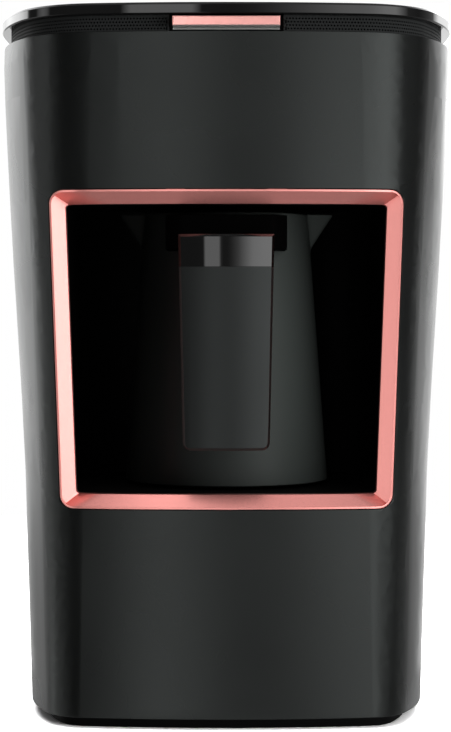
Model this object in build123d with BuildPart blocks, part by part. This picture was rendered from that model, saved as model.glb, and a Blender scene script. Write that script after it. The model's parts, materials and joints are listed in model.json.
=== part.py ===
from build123d import *
import os
from math import asin, copysign, cos, degrees, radians, sin, sqrt

os.makedirs("parts", exist_ok=True)

# Free-standing one-button machine for Turkish coffee, with a lift-out pot in an open front
# chamber. Millimetres, +Z up, front towards -Y, origin on the table under the middle of the lid.

# --- Overall size ---
total_height = 227.0
lid_width = 151.0
lid_depth = 165.0
lid_thickness = 3.7
lid_edge_round = 0.7
cover_boss_x = 50.0
cover_boss_rows = (-50.0, 58.0)
vent_height = 5.0
foot_height = 1.5  # how far the feet stand out under the base
plinth_height = 2.1  # shadow gap between the base's underside and the housing's lower edge

# --- Plan of the housing: bowed front, rounded corners, swept flanks, flat back ---
front_radius = 320.0
corner_turn = 66.0  # degrees from the front's direction where the corner meets the flank
lid_corner = 30.6
lid_flank = 108.0
rear_radius = 14.0
housing_overhang = 2.45  # how far the lid stands out past the housing
bottom_width = 128.2
bottom_corner = 15.0
bottom_flank = 79.0
front_lean = 4.0  # how far the front's lower edge lies behind its upper edge
flank_swell = 0.5  # 0 is a straight taper, 1 an S that starts and ends upright
flank_steps = 3  # straight walls that the S is drawn with
housing_wall = 2.5
deck_thickness = 2.5
deck_hole = (52.0, 74.0)
deck_hole_y = 8.0
deck_hole_corner = 4.0

# --- Window and its metal frame ---
window_bottom = 69.4
window_top = 169.1
window_half_bottom = 52.1
window_half_top = 55.9
window_corner = 4.2
bar_height = 4.3
bar_width = 4.85
inner_corner = 1.2
frame_land = 0.6  # flat edge round the outside of the bevel
frame_step = 0.2  # from the flat edge down to the start of the bevel
frame_bevel = 3.0  # how much deeper the bevel's inner edge lies
frame_depth = 7.0
frame_draw_in = 6.0  # how much sooner the frame's inner edge turns than the housing does
frame_proud = 0.3
frame_gap = 0.3
frame_margin = 8.0  # how far past the window the shapes that trim the frame reach
trim_over = 1.0  # how far past its true edge a shape stands before it is trimmed
clip_size = (6.0, 2.0, 1.6)
clips_top = (-16.0, 16.0)
clips_bottom = (-24.0, 0.0, 24.0)

# --- Brewing chamber ---
chamber_half = 52.0
chamber_back = 18.0
chamber_floor = 73.4
chamber_ceiling = 166.0
chamber_corner = 18.0
liner_wall = 2.0
liner_gap = 0.2
liner_post = 4.0
liner_post_x = 40.0
liner_post_rows = (-22.0, 8.0)

# --- Vent band and the start button in it ---
vent_setback = 3.0
vent_wall = 1.6
vent_hole = 1.2  # side of one square hole
vent_pitch = 2.7
vent_rows = 3
vent_reach = 53.0
vent_cut = 30.0  # how far back the holes are cut, so that they pass the band where it curves away
button_gap_depth = 12.0  # front to back, of the gap for the button in the band and in the lid's lip
lip_height = 1.2  # of the lip under the lid that locates it in the vent band
button_half = 16.7
button_height = 3.1
button_rise = 1.3  # from the deck to the button's underside
button_slot_gap = 1.1
button_travel = 1.5
button_edge = 0.3
button_flange_half = 19.5
button_flange = 1.2
flange_drop = 0.6  # below the button's underside
flange_rise = 0.4  # above the button's top
stop_gap = 0.3
plunger_radius = 1.2
plunger_length = 4.4
plunger_gap = 0.15
plunger_spare = 0.7  # how far the plunger still stands out when it is pressed
switch_size = (6.4, 5.7, 4.0)
switch_fit = 0.1
switch_recess = 0.4  # how far the switch's front lies behind the carrier's
carrier_wall = 1.4
carrier_half = 21.5
carrier_foot = 0.6
carrier_gap = 0.4  # under the lid
spring_strip = 0.3
spring_half = 6.0
spring_width = 2.0
spring_clearance = 0.02

# --- Pot ---
pot_y = -24.0
pot_bottom = 74.1
pot_top = 163.3
pot_radius_bottom = 34.0
pot_radius_top = 27.4
pot_wall = 2.0
pot_fit = 0.2  # between the body and the steel base let into it
pot_foot = 0.6  # how far the steel base stands out under the body
rim_edge = 1.2
spout_reach = 36.0
spout_tip = 2.0
spout_wall = 1.2
spout_root = 9.0
spout_drop = 16.0
pot_base_thickness = 2.4
seal_ring = 0.6  # thickness of the gasket between body and base
ledge_radius = 25.0  # opening in the ledge that the base is pressed against
ledge_thickness = 1.4

# --- Handle ---
handle_front = -81.0
handle_thickness = 9.0
handle_half_top = 15.0
handle_half_bottom = 13.5
handle_bottom = 87.9
handle_top = 155.2
handle_crown = 2.2
handle_corner = 2.5
handle_edge = 0.8
band_bottom = 145.1
band_thickness = 0.8
handle_skin = 3.0  # in front of the screw holes
handle_screw_inset = 4.0  # from the bracket's lower edges to the screws
bracket_half = 19.3
bracket_bottom = 150.6
bracket_top = 161.6
bracket_flare = 6.0  # how far behind the grip the bracket reaches its full width
bracket_edge = 1.5
bracket_fit = 0.05
tongue_half = 9.0
tongue_bottom = 134.0
tongue_thickness = 4.0

# --- Heating ---
plate_radius = 30.5
plate_clearance = 0.5
plate_step = 0.4  # the plate stands this much above the chamber floor
plate_sheet = 1.5
plate_flange = 3.5
plate_edge = 0.8
seal_thickness = 0.6
spreader_radius = 26.5
spreader_height = 5.5
element_ring = 18.5
element_radius = 3.0
element_sides = 8
element_fit = 0.1
element_arc = 320.0
terminal_length = 9.0
terminal_radius = 1.6
strap_length = 90.0
strap_width = 14.0
strap_sheet = 1.5
strap_post = 4.5
strap_gap = 1.5  # between the strap and the heating element
cup_radius = 2.5
cup_place = 12.5
thermostat_radius = 8.0
fuse_radius = 2.0
fuse_length = 11.0

# --- Base, feet and screws ---
plinth_setback = 5.0
plinth_corner = 32.0
base_sheet = 2.2
base_fit = 0.3
foot_radius = 6.0
foot_recess = 1.0
foot_fit = 0.1
foot_edge = 0.5
feet_x = 38.0
feet_front = -54.0
feet_back = 60.0
base_post = 4.5
base_post_height = 22.0
base_post_rows = (-12.0, 58.0)
screw_radius = 1.5
screw_head = 2.9
screw_head_height = 1.8
screw_bite = 7.0
thread_spare = 2.0  # depth of a screw's hole past the screw's point
hole_clearance = 0.25
spot_sides = 8  # sides that stand for a round on screws, posts and their holes
foot_sides = 16

# --- Boards ---
lens_radius = 5.0
lens_rim = 1.5
lens_rim_height = 1.0
board_sheet = 1.6
board_corner = 2.0
board_post = 3.0
post_end = 1.0  # solid end of a post past its screw hole
control_board_size = (76.0, 38.0)
control_board_setback = 32.5  # its middle, behind the lid's front
control_post_height = 6.5
buzzer_radius = 6.0
buzzer_height = 5.0
power_board_size = (70.0, 104.0)
power_board_z = 118.0
power_post_height = 13.0
board_edge = 5.0  # from a board's edge to its screws
processor_size = (9.0, 9.0, 1.4)
crystal_size = (7.0, 3.0, 2.0)
socket_size = (12.0, 5.0, 5.0)
sensor_board_size = (26.0, 18.0)
sensor_size = (8.0, 6.0, 3.0)
relay_size = (19.0, 15.0, 15.0)
relay_place = (20.0, 30.0)
core_size = (24.0, 20.0, 10.0)
winding_size = (14.0, 20.0, 18.0)
limb_size = (24.0, 8.0, 20.0)
transformer_place = (-16.0, 20.0)
capacitor_radius = 5.0
capacitor_height = 16.0
capacitor_place = (18.0, 2.0)
terminal_size = (30.0, 12.0, 11.0)
terminal_place = (0.0, -38.0)
terminal_pitch = 9.0
terminal_hole = 1.8

# --- Cord inlet ---
gland_x = -42.0
gland_z = 18.0
gland_bore = 3.5
gland_neck = 5.5
gland_flange = 8.0
gland_lip = 1.5
gland_edge = 0.6
gland_barb = 1.4  # how much wider than the neck the collar behind the wall is
gland_collar = 2.0

# Levels that follow from the sizes above.
body_bottom = foot_height + plinth_height
lid_bottom = total_height - lid_thickness
body_top = lid_bottom - vent_height
deck_under = body_top - deck_thickness
top_width = lid_width - 2 * housing_overhang
top_corner = lid_corner - housing_overhang
top_flank = lid_flank - housing_overhang
body_front = -lid_depth / 2 + housing_overhang
body_back = lid_depth / 2 - housing_overhang
handle_back = handle_front + handle_thickness
ceiling_top = chamber_ceiling + liner_wall
floor_under = chamber_floor - liner_wall
plate_top = chamber_floor + plate_step
pot_axis = Axis((0, pot_y, 0), (0, 0, 1))
pot_plane = Plane((0, pot_y, 0), x_dir=(1, 0, 0), z_dir=(0, -1, 0))


def at_height(low, high, height):
    """A size of the housing at a height, between its bottom and top edges, with the S of the flank."""
    rise = (height - body_bottom) / (body_top - body_bottom)
    swell = 3 * rise**2 - 2 * rise**3
    return low + (high - low) * ((1 - flank_swell) * rise + flank_swell * swell)


def bow_angle(half_width, corner, flank):
    """How far the bowed front turns before its corner starts, in degrees."""
    turn = sin(radians(corner_turn))
    return degrees(asin((half_width - flank * (1 - turn) - corner * turn) / (front_radius - corner)))


def plan_face(height, half_width, front, back, corner, flank, shrink=0.0):
    """The closed plan at a height, drawn inside its true line by shrink."""
    bow = bow_angle(half_width, corner, flank)
    with BuildSketch(Plane.XY.offset(height), mode=Mode.PRIVATE) as plan:
        with BuildLine():
            face = JernArc((0, front + shrink), (1, 0), front_radius - shrink, bow)
            bend = JernArc(face @ 1, face % 1, corner - shrink, corner_turn - bow)
            swept = JernArc(bend @ 1, bend % 1, flank - shrink, 90 - corner_turn)
            side = Line(swept @ 1, (half_width - shrink, back - rear_radius))
            rear = JernArc(side @ 1, side % 1, rear_radius - shrink, 90)
            Line(rear @ 1, (0, back - shrink))
            mirror(about=Plane.YZ)
        make_face()
    return plan.sketch


def housing_plan(height, shrink=0.0, narrow=0.0, setback=0.0):
    """Plan of the housing, optionally narrower and further back than the housing itself."""
    return plan_face(
        height,
        at_height(bottom_width, top_width, height) / 2 - narrow,
        body_front + at_height(front_lean, 0.0, height) + setback,
        body_back,
        at_height(bottom_corner, top_corner, height),
        at_height(bottom_flank, top_flank, height),
        shrink,
    )


def housing_levels(low, high):
    """Heights at which the housing's S-shaped flank is drawn, with straight walls between them."""
    return [low + (high - low) * step / flank_steps for step in range(flank_steps + 1)]


def plinth_plan(height, shrink=0.0):
    """Plan of the plinth, whose corners are rounder than the housing's above it."""
    return plan_face(height, bottom_width / 2 - plinth_setback, body_front + front_lean + plinth_setback,
                     body_back - plinth_setback, plinth_corner, bottom_flank, shrink)


def lid_plan(height, shrink=0.0):
    return plan_face(height, lid_width / 2, -lid_depth / 2, lid_depth / 2, lid_corner, lid_flank, shrink)


def face_y(height, x):
    """Where the front of the housing lies at a height and a distance x from the middle."""
    half_width = at_height(bottom_width, top_width, height) / 2
    corner = at_height(bottom_corner, top_corner, height)
    bow = radians(bow_angle(half_width, corner, at_height(bottom_flank, top_flank, height)))
    centre_x = (front_radius - corner) * sin(bow)
    centre_y = body_front + at_height(front_lean, 0.0, height) + front_radius
    if x <= front_radius * sin(bow):
        return centre_y - sqrt(front_radius**2 - x**2)
    return centre_y - (front_radius - corner) * cos(bow) - sqrt(corner**2 - (x - centre_x) ** 2)


def window_half(height):
    """Half the window's width at a height."""
    rise = (height - window_bottom) / (window_top - window_bottom)
    return window_half_bottom + (window_half_top - window_half_bottom) * rise


def window_face(inset_side, inset_level, radius):
    """The window's outline on the upright plane Y = 0, drawn inside its true line."""
    low, high = window_bottom + inset_level, window_top - inset_level
    half_low, half_high = window_half(low) - inset_side, window_half(high) - inset_side
    with BuildSketch(Plane.XZ, mode=Mode.PRIVATE) as outline:
        with BuildLine():
            Polyline((-half_low, low), (half_low, low), (half_high, high), (-half_high, high), close=True)
        make_face()
        fillet(outline.vertices(), radius)
    return outline.sketch


def spots(plane, places, radius, sides=spot_sides):
    """Small rounds of one size on a plane, with few sides because they repeat."""
    with BuildSketch(plane, mode=Mode.PRIVATE) as sketch:
        with Locations(*places):
            RegularPolygon(radius, sides)
    return sketch.sketch


def save(builder, label):
    builder.part.label = label
    export_step(builder.part, f"parts/{label}.step")


def screws(plane, places, length, heads, label):
    """Pan-head screws bearing on a plane, with heads on the side of its normal (1) or the other (-1)."""
    with BuildPart() as group:
        extrude(spots(plane, places, screw_radius), amount=-heads * length)
        extrude(spots(plane, places, screw_head), amount=heads * screw_head_height)
    save(group, label)


# ================= Housing =================

base_posts = [(s * (bottom_width / 2 - plinth_setback - base_post), y)
              for s in (-1, 1) for y in base_post_rows]
cover_bosses = [(s * cover_boss_x, y) for s in (-1, 1) for y in cover_boss_rows]
liner_posts = [(s * liner_post_x, y) for s in (-1, 1) for y in liner_post_rows]
board_top = deck_under - control_post_height
control_board_y = -lid_depth / 2 + control_board_setback
control_posts = [(s * (control_board_size[0] / 2 - board_edge),
                  control_board_y + t * (control_board_size[1] / 2 - board_edge))
                 for s in (-1, 1) for t in (-1, 1)]

with BuildPart() as body_shell:
    loft([housing_plan(z) for z in housing_levels(body_bottom, body_top)], ruled=True)
    loft([housing_plan(z, housing_wall) for z in (body_bottom, deck_under)], ruled=True,
         mode=Mode.SUBTRACT)
    extrude(window_face(-frame_gap, -frame_gap, window_corner + frame_gap), amount=lid_depth,
            mode=Mode.SUBTRACT)
    with BuildSketch(Plane.XY.offset(deck_under)):
        with Locations((0, deck_hole_y)):
            RectangleRounded(*deck_hole, deck_hole_corner)
    extrude(amount=deck_thickness, mode=Mode.SUBTRACT)
    # posts for the base screws, joined to the side walls
    inside_base = Plane.XY.offset(body_bottom + base_sheet)
    extrude(spots(inside_base, base_posts, base_post), amount=base_post_height)
    with BuildSketch(inside_base):
        for x, y in base_posts:
            wall = copysign(bottom_width / 2 - housing_wall / 2, x)
            with Locations(((x + wall) / 2, y)):
                Rectangle(abs(wall - x), housing_wall)
    extrude(amount=base_post_height)
    extrude(spots(inside_base, base_posts, screw_radius), amount=screw_bite + thread_spare,
            mode=Mode.SUBTRACT)
    # posts that carry the control board under the deck
    extrude(spots(Plane.XY.offset(deck_under), control_posts, board_post), amount=-control_post_height)
    extrude(spots(Plane.XY.offset(board_top), control_posts, screw_radius),
            amount=control_post_height - post_end, mode=Mode.SUBTRACT)
    # holes through the deck for the lid's and the chamber's screws
    extrude(spots(Plane.XY.offset(deck_under), cover_bosses + liner_posts, screw_radius + hole_clearance),
            amount=deck_thickness, mode=Mode.SUBTRACT)
    # hole for the cord gland in the back wall
    with BuildSketch(Plane((gland_x, body_back + gland_lip, gland_z), x_dir=(1, 0, 0), z_dir=(0, -1, 0))):
        Circle(gland_neck + hole_clearance)
    extrude(amount=housing_wall + 2 * gland_lip, mode=Mode.SUBTRACT)
save(body_shell, "body_shell")

window_levels = housing_levels(window_bottom - frame_margin, window_top + frame_margin)

# the flat land round the outside of the frame, trimmed to the curve of the housing
with BuildPart() as frame_rim:
    with BuildSketch(Plane.XZ):
        add(window_face(0, 0, window_corner))
        add(window_face(frame_land, frame_land, window_corner - frame_land), mode=Mode.SUBTRACT)
    extrude(amount=lid_depth)
    loft([housing_plan(z, -frame_proud) for z in window_levels], ruled=True, mode=Mode.INTERSECT)

with BuildPart() as window_frame:
    # behind the bevels of the top and bottom bars, with the waist of the opening between them
    loft([
        housing_plan(window_bottom + frame_land, frame_step - frame_proud),
        housing_plan(window_bottom + bar_height, 0, frame_draw_in, frame_bevel),
        housing_plan(window_top - bar_height, 0, frame_draw_in, frame_bevel),
        housing_plan(window_top - frame_land, frame_step - frame_proud),
    ], ruled=True)
    # behind the bevels of the two upright bars
    for side in (-1, 1):
        wedges = []
        for z in (window_bottom, window_top):
            edge = window_half(z)
            hinge = edge - frame_land
            depth = face_y(z, hinge) + frame_step - frame_proud
            with BuildSketch(Plane.XY.offset(z), mode=Mode.PRIVATE) as wedge:
                with BuildLine():
                    Polyline(
                        (side * hinge, depth),
                        (side * (edge - bar_width - trim_over), depth + frame_bevel),
                        (side * (edge - bar_width - trim_over), depth + 3 * frame_depth),
                        (side * edge, depth + 3 * frame_depth),
                        (side * edge, depth + 2 * frame_land),
                        close=True,
                    )
                make_face()
            wedges.append(wedge.sketch)
        loft(wedges, ruled=True)
    # trimmed to the ring between outline and opening
    with BuildSketch(Plane.XZ):
        add(window_face(0, 0, window_corner))
        add(window_face(bar_width, bar_height, inner_corner), mode=Mode.SUBTRACT)
    extrude(amount=lid_depth, mode=Mode.INTERSECT)
    add(frame_rim.part)
    loft([housing_plan(z, 0, frame_draw_in, frame_depth) for z in window_levels],
         ruled=True, mode=Mode.SUBTRACT)
    # snap clips behind the housing's wall
    for x in clips_top:
        with Locations((x, face_y(window_top, abs(x)) + housing_wall + frame_gap, window_top)):
            Box(*clip_size, align=(Align.CENTER, Align.MIN, Align.MIN))
    for x in clips_bottom:
        with Locations((x, face_y(window_bottom, abs(x)) + housing_wall + frame_gap, window_bottom)):
            Box(*clip_size, align=(Align.CENTER, Align.MIN, Align.MAX))
save(window_frame, "window_frame")

chamber_outer_back = chamber_back + liner_wall
power_board_y = chamber_outer_back + power_post_height
power_posts = [(s * (power_board_size[0] / 2 - board_edge),
                power_board_z + t * (power_board_size[1] / 2 - board_edge))
               for s in (-1, 1) for t in (-1, 1)]
strap_ends = [(s * (strap_length / 2 - board_edge), pot_y) for s in (-1, 1)]
spreader_top = plate_top - plate_sheet
spreader_bottom = spreader_top - spreader_height
strap_top = spreader_bottom - element_radius - strap_gap

with BuildPart() as chamber_liner:
    for bottom, top, wall, mode in (
        (floor_under, ceiling_top, liner_wall, Mode.ADD),
        (chamber_floor, chamber_ceiling, 0.0, Mode.SUBTRACT),
    ):
        half, back = chamber_half + wall, chamber_back + wall
        with BuildSketch(Plane.XY.offset(bottom)) as room:
            with BuildLine():
                Polyline((-half, -lid_depth), (half, -lid_depth), (half, back), (-half, back), close=True)
            make_face()
            fillet(room.vertices().group_by(Axis.Y)[-1], chamber_corner + wall)
        extrude(amount=top - bottom, mode=mode)
    # its front edge follows the back of the window frame
    loft([housing_plan(z, 0, frame_draw_in, frame_depth + liner_gap) for z in window_levels],
         ruled=True, mode=Mode.INTERSECT)
    with BuildSketch(Plane.XY.offset(floor_under)):
        with Locations((0, pot_y)):
            Circle(plate_radius + plate_clearance)
    extrude(amount=liner_wall, mode=Mode.SUBTRACT)
    with BuildSketch(Plane.XY.offset(chamber_ceiling)):
        with Locations((0, pot_y)):
            Circle(lens_radius + hole_clearance)
    extrude(amount=liner_wall, mode=Mode.SUBTRACT)
    # posts up to the deck, which the chamber hangs from
    extrude(spots(Plane.XY.offset(ceiling_top), liner_posts, liner_post), amount=deck_under - ceiling_top)
    extrude(spots(Plane.XY.offset(deck_under), liner_posts, screw_radius),
            amount=-(screw_bite + thread_spare), mode=Mode.SUBTRACT)
    # posts behind the back wall for the power board
    extrude(spots(Plane.XZ.offset(-chamber_outer_back), power_posts, board_post), amount=-power_post_height)
    extrude(spots(Plane.XZ.offset(-power_board_y), power_posts, screw_radius),
            amount=power_post_height - post_end, mode=Mode.SUBTRACT)
    # posts under the floor for the hotplate's strap
    extrude(spots(Plane.XY.offset(floor_under), strap_ends, strap_post), amount=strap_top - floor_under)
    extrude(spots(Plane.XY.offset(strap_top), strap_ends, screw_radius), amount=screw_bite,
            mode=Mode.SUBTRACT)
save(chamber_liner, "chamber_liner")

vent_inner = vent_setback + vent_wall
band_face = -lid_depth / 2 + vent_setback
button_bottom = body_top + button_rise
button_top = button_bottom + button_height

with BuildPart() as vent_grille:
    with BuildSketch(Plane.XY.offset(body_top)):
        add(lid_plan(0, vent_setback))
        add(lid_plan(0, vent_inner), mode=Mode.SUBTRACT)
    extrude(amount=vent_height)
    # staggered rows of holes across the front, left out where the button is
    row_step = vent_height / (vent_rows + 1)
    columns = int(vent_reach / vent_pitch)
    for row in range(vent_rows):
        shift = vent_pitch / 2 * (row % 2)
        places = [(s * (column * vent_pitch + shift), body_top + (row + 1) * row_step)
                  for column in range(1, columns) for s in (-1, 1)
                  if column * vent_pitch + shift > button_half + button_slot_gap + vent_hole]
        with BuildSketch(Plane.XZ.offset(lid_depth / 2)):
            with Locations(*places):
                Rectangle(vent_hole, vent_hole)
        extrude(amount=-vent_cut, mode=Mode.SUBTRACT)
    with Locations((0, band_face, body_top)):
        Box(2 * (button_half + button_slot_gap), button_gap_depth, vent_height,
            align=(Align.CENTER, Align.CENTER, Align.MIN), mode=Mode.SUBTRACT)
save(vent_grille, "vent_grille")

with BuildPart() as top_cover:
    with BuildSketch(Plane.XY.offset(lid_bottom)):
        add(lid_plan(0))
    extrude(amount=lid_thickness)
    chamfer(top_cover.faces().sort_by(Axis.Z)[-1].edges(), lid_edge_round)
    chamfer(top_cover.faces().sort_by(Axis.Z)[0].edges(), lid_edge_round / 2)
    # lip that locates the cover inside the vent band
    with BuildSketch(Plane.XY.offset(lid_bottom)):
        add(lid_plan(0, vent_inner + base_fit))
        add(lid_plan(0, vent_inner + base_fit + vent_wall), mode=Mode.SUBTRACT)
    extrude(amount=-lip_height)
    with BuildSketch(Plane.XY.offset(lid_bottom)):
        with Locations((0, band_face)):
            Rectangle(2 * (carrier_half + carrier_wall), button_gap_depth)
    extrude(amount=-lip_height, mode=Mode.SUBTRACT)
    # bosses that stand on the deck
    extrude(spots(Plane.XY.offset(lid_bottom), cover_bosses, liner_post), amount=-vent_height)
    extrude(spots(Plane.XY.offset(body_top), cover_bosses, screw_radius),
            amount=screw_bite - deck_thickness, mode=Mode.SUBTRACT)
save(top_cover, "top_cover")

feet = [(x, y) for x in (-feet_x, feet_x) for y in (feet_front, feet_back)]

with BuildPart() as base_cover:
    with BuildSketch(Plane.XY.offset(foot_height)):
        add(plinth_plan(0))
    extrude(amount=plinth_height)
    with BuildSketch(Plane.XY.offset(body_bottom)):
        add(housing_plan(body_bottom, housing_wall + base_fit))
    extrude(amount=base_sheet)
    with BuildSketch(Plane.XY.offset(foot_height + base_sheet)):
        add(plinth_plan(0, base_sheet))
    extrude(amount=plinth_height, mode=Mode.SUBTRACT)
    underside = Plane.XY.offset(foot_height)
    extrude(spots(underside, feet, foot_radius + base_sheet, foot_sides), amount=base_sheet + foot_recess)
    extrude(spots(underside, feet, foot_radius + foot_fit, foot_sides), amount=foot_recess,
            mode=Mode.SUBTRACT)
    extrude(spots(underside, base_posts, base_post), amount=plinth_height + base_sheet)
    extrude(spots(underside, base_posts, screw_radius + hole_clearance),
            amount=plinth_height + base_sheet, mode=Mode.SUBTRACT)
    extrude(spots(underside, base_posts, screw_head + hole_clearance), amount=screw_head_height,
            mode=Mode.SUBTRACT)
save(base_cover, "base_cover")

with BuildPart() as rubber_feet:
    extrude(spots(Plane.XY, feet, foot_radius, foot_sides), amount=foot_height + foot_recess)
    chamfer(rubber_feet.edges().group_by(Axis.Z)[0], foot_edge)
save(rubber_feet, "rubber_feet")

screws(Plane.XY.offset(foot_height + screw_head_height), base_posts,
       plinth_height + base_sheet - screw_head_height + screw_bite, -1, "base_screws")
screws(Plane.XY.offset(deck_under), cover_bosses, screw_bite, -1, "cover_screws")
screws(Plane.XY.offset(body_top), liner_posts, deck_thickness + screw_bite, 1, "liner_screws")

# ================= Start button and its switch =================

flange_front = (-lid_depth / 2 + vent_inner + stop_gap
                + front_radius - vent_inner - sqrt((front_radius - vent_inner) ** 2 - button_flange_half**2))
flange_back = flange_front + button_flange
plunger_front = flange_back + stop_gap
switch_front = plunger_front + button_travel + plunger_spare
switch_middle = (button_bottom + button_top) / 2
carrier_front = switch_front - switch_recess

with BuildPart() as start_button:
    with Locations((0, -lid_depth / 2, button_bottom)):
        Box(2 * button_half, flange_front + lid_depth / 2, button_height,
            align=(Align.CENTER, Align.MIN, Align.MIN))
    chamfer(start_button.faces().sort_by(Axis.Y)[0].edges(), button_edge)
    with Locations((0, flange_front, button_bottom - flange_drop)):
        Box(2 * button_flange_half, button_flange, flange_drop + button_height + flange_rise,
            align=(Align.CENTER, Align.MIN, Align.MIN))
save(start_button, "start_button")

with BuildPart() as switch_plunger:
    with BuildSketch(Plane.XZ.offset(-plunger_front)):
        with Locations((0, switch_middle)):
            Circle(plunger_radius)
    extrude(amount=-plunger_length)
save(switch_plunger, "switch_plunger")

with BuildPart() as switch_body:
    with Locations((0, switch_front, switch_middle)):
        Box(*switch_size, align=(Align.CENTER, Align.MIN, Align.CENTER))
    with BuildSketch(Plane.XZ.offset(-switch_front)):
        with Locations((0, switch_middle)):
            Circle(plunger_radius + plunger_gap)
    extrude(amount=-(plunger_length + plunger_gap), mode=Mode.SUBTRACT)
save(switch_body, "switch_body")

with BuildPart() as button_carrier:
    # an upright wall behind the button, with a foot on the deck and a pocket for the switch
    with Locations((0, carrier_front, body_top)):
        Box(2 * carrier_half, carrier_wall, vent_height - carrier_gap,
            align=(Align.CENTER, Align.MIN, Align.MIN))
        Box(2 * carrier_half, switch_size[1] + 2 * carrier_wall, carrier_foot,
            align=(Align.CENTER, Align.MIN, Align.MIN))
    for s in (-1, 1):
        with Locations((s * (switch_size[0] / 2 + switch_fit + carrier_wall / 2), carrier_front, body_top)):
            Box(carrier_wall, switch_size[1] + carrier_wall, vent_height - 2 * carrier_gap,
                align=(Align.CENTER, Align.MIN, Align.MIN))
    with Locations((0, carrier_front, switch_middle)):
        Box(switch_size[0] + 2 * switch_fit, switch_recess + switch_size[1], switch_size[2] + 2 * switch_fit,
            align=(Align.CENTER, Align.MIN, Align.CENTER), mode=Mode.SUBTRACT)
save(button_carrier, "button_carrier")

with BuildPart() as button_spring:
    # two bowed leaves between the carrier and the button's flange
    for s in (-1, 1):
        middle = s * (button_half + switch_size[0] / 2) / 2
        with BuildSketch(Plane.XY.offset(switch_middle - spring_width / 2)):
            with BuildLine():
                rest = carrier_front - spring_clearance
                crown = flange_back + spring_clearance
                bow = ThreePointArc((middle - spring_half, rest), (middle, crown + spring_strip),
                                    (middle + spring_half, rest))
                back = ThreePointArc((middle - spring_half - spring_strip, rest), (middle, crown),
                                     (middle + spring_half + spring_strip, rest))
                Line(bow @ 0, back @ 0)
                Line(bow @ 1, back @ 1)
            make_face()
        extrude(amount=spring_width)
save(button_spring, "button_spring")

# ================= Boards =================

with BuildPart() as control_board:
    with BuildSketch(Plane.XY.offset(board_top)):
        with Locations((0, control_board_y)):
            RectangleRounded(*control_board_size, board_corner)
    extrude(amount=-board_sheet)
    extrude(spots(Plane.XY.offset(board_top), control_posts, screw_radius + hole_clearance),
            amount=-board_sheet, mode=Mode.SUBTRACT)
    # processor, crystal and plug socket on its upper side
    for size, x in ((processor_size, -processor_size[0]), (crystal_size, crystal_size[0]),
                    (socket_size, 2 * socket_size[0])):
        with Locations((x, control_board_y, board_top)):
            Box(*size, align=(Align.CENTER, Align.CENTER, Align.MIN))
save(control_board, "control_board")
screws(Plane.XY.offset(board_top - board_sheet), control_posts,
       board_sheet + control_post_height - thread_spare, -1, "control_board_screws")

with BuildPart() as buzzer:
    with Locations((-control_board_size[0] / 3, control_board_y, board_top)):
        Cylinder(buzzer_radius, buzzer_height, align=(Align.CENTER, Align.CENTER, Align.MIN))
save(buzzer, "buzzer")

with BuildPart() as sensor_lens:
    with Locations((0, pot_y, chamber_ceiling)):
        Cylinder(lens_radius, liner_wall, align=(Align.CENTER, Align.CENTER, Align.MIN))
    with Locations((0, pot_y, ceiling_top)):
        Cylinder(lens_radius + lens_rim, lens_rim_height, align=(Align.CENTER, Align.CENTER, Align.MIN))
save(sensor_lens, "sensor_lens")

with BuildPart() as sensor_board:
    with Locations((0, pot_y, ceiling_top + lens_rim_height)):
        Box(*sensor_board_size, board_sheet, align=(Align.CENTER, Align.CENTER, Align.MIN))
    with Locations((0, pot_y, ceiling_top + lens_rim_height + board_sheet)):
        Box(*sensor_size, align=(Align.CENTER, Align.CENTER, Align.MIN))
save(sensor_board, "sensor_board")

power_plane = Plane((0, power_board_y, power_board_z), x_dir=(-1, 0, 0), z_dir=(0, 1, 0))

with BuildPart() as power_board:
    with BuildSketch(power_plane):
        RectangleRounded(*power_board_size, board_corner)
    extrude(amount=board_sheet)
    extrude(spots(Plane.XZ.offset(-power_board_y), power_posts, screw_radius + hole_clearance),
            amount=-board_sheet, mode=Mode.SUBTRACT)
save(power_board, "power_board")
screws(Plane.XZ.offset(-(power_board_y + board_sheet)), power_posts,
       board_sheet + power_post_height - thread_spare, -1, "power_board_screws")

board_face = power_plane.offset(board_sheet)


def on_board(place, size):
    """Outline of a block on the power board's outer face."""
    with BuildSketch(board_face, mode=Mode.PRIVATE) as block:
        with Locations(place):
            Rectangle(size[0], size[1])
    return block.sketch


with BuildPart() as relay:
    extrude(on_board(relay_place, relay_size), amount=relay_size[2])
save(relay, "relay")

with BuildPart() as transformer:
    for size in (core_size, limb_size, winding_size):
        extrude(on_board(transformer_place, size), amount=size[2])
save(transformer, "transformer")

with BuildPart() as filter_capacitor:
    with BuildSketch(board_face):
        with Locations(capacitor_place):
            Circle(capacitor_radius)
    extrude(amount=capacitor_height)
save(filter_capacitor, "filter_capacitor")

with BuildPart() as terminal_block:
    extrude(on_board(terminal_place, terminal_size), amount=terminal_size[2])
    holes = [(terminal_place[0] + step * terminal_pitch, terminal_place[1]) for step in (-1, 0, 1)]
    extrude(spots(board_face.offset(terminal_size[2]), holes, terminal_hole), amount=-terminal_size[2] / 3,
            mode=Mode.SUBTRACT)
save(terminal_block, "terminal_block")

gland_plane = Plane((gland_x, body_back, gland_z), x_dir=(1, 0, 0), z_dir=(0, 1, 0))

with BuildPart() as cord_gland:
    with BuildSketch(gland_plane):
        Circle(gland_flange)
    extrude(amount=gland_lip)
    chamfer(cord_gland.faces().sort_by(Axis.Y)[-1].edges(), gland_edge)
    with BuildSketch(gland_plane):
        Circle(gland_neck)
    extrude(amount=-housing_wall)
    with BuildSketch(gland_plane.offset(-housing_wall)):
        Circle(gland_neck + gland_barb)
    extrude(amount=-gland_collar)
    with BuildSketch(gland_plane.offset(gland_lip)):
        Circle(gland_bore)
    extrude(amount=-(gland_lip + housing_wall + gland_collar), mode=Mode.SUBTRACT)
save(cord_gland, "cord_gland")

# ================= Heating =================

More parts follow.
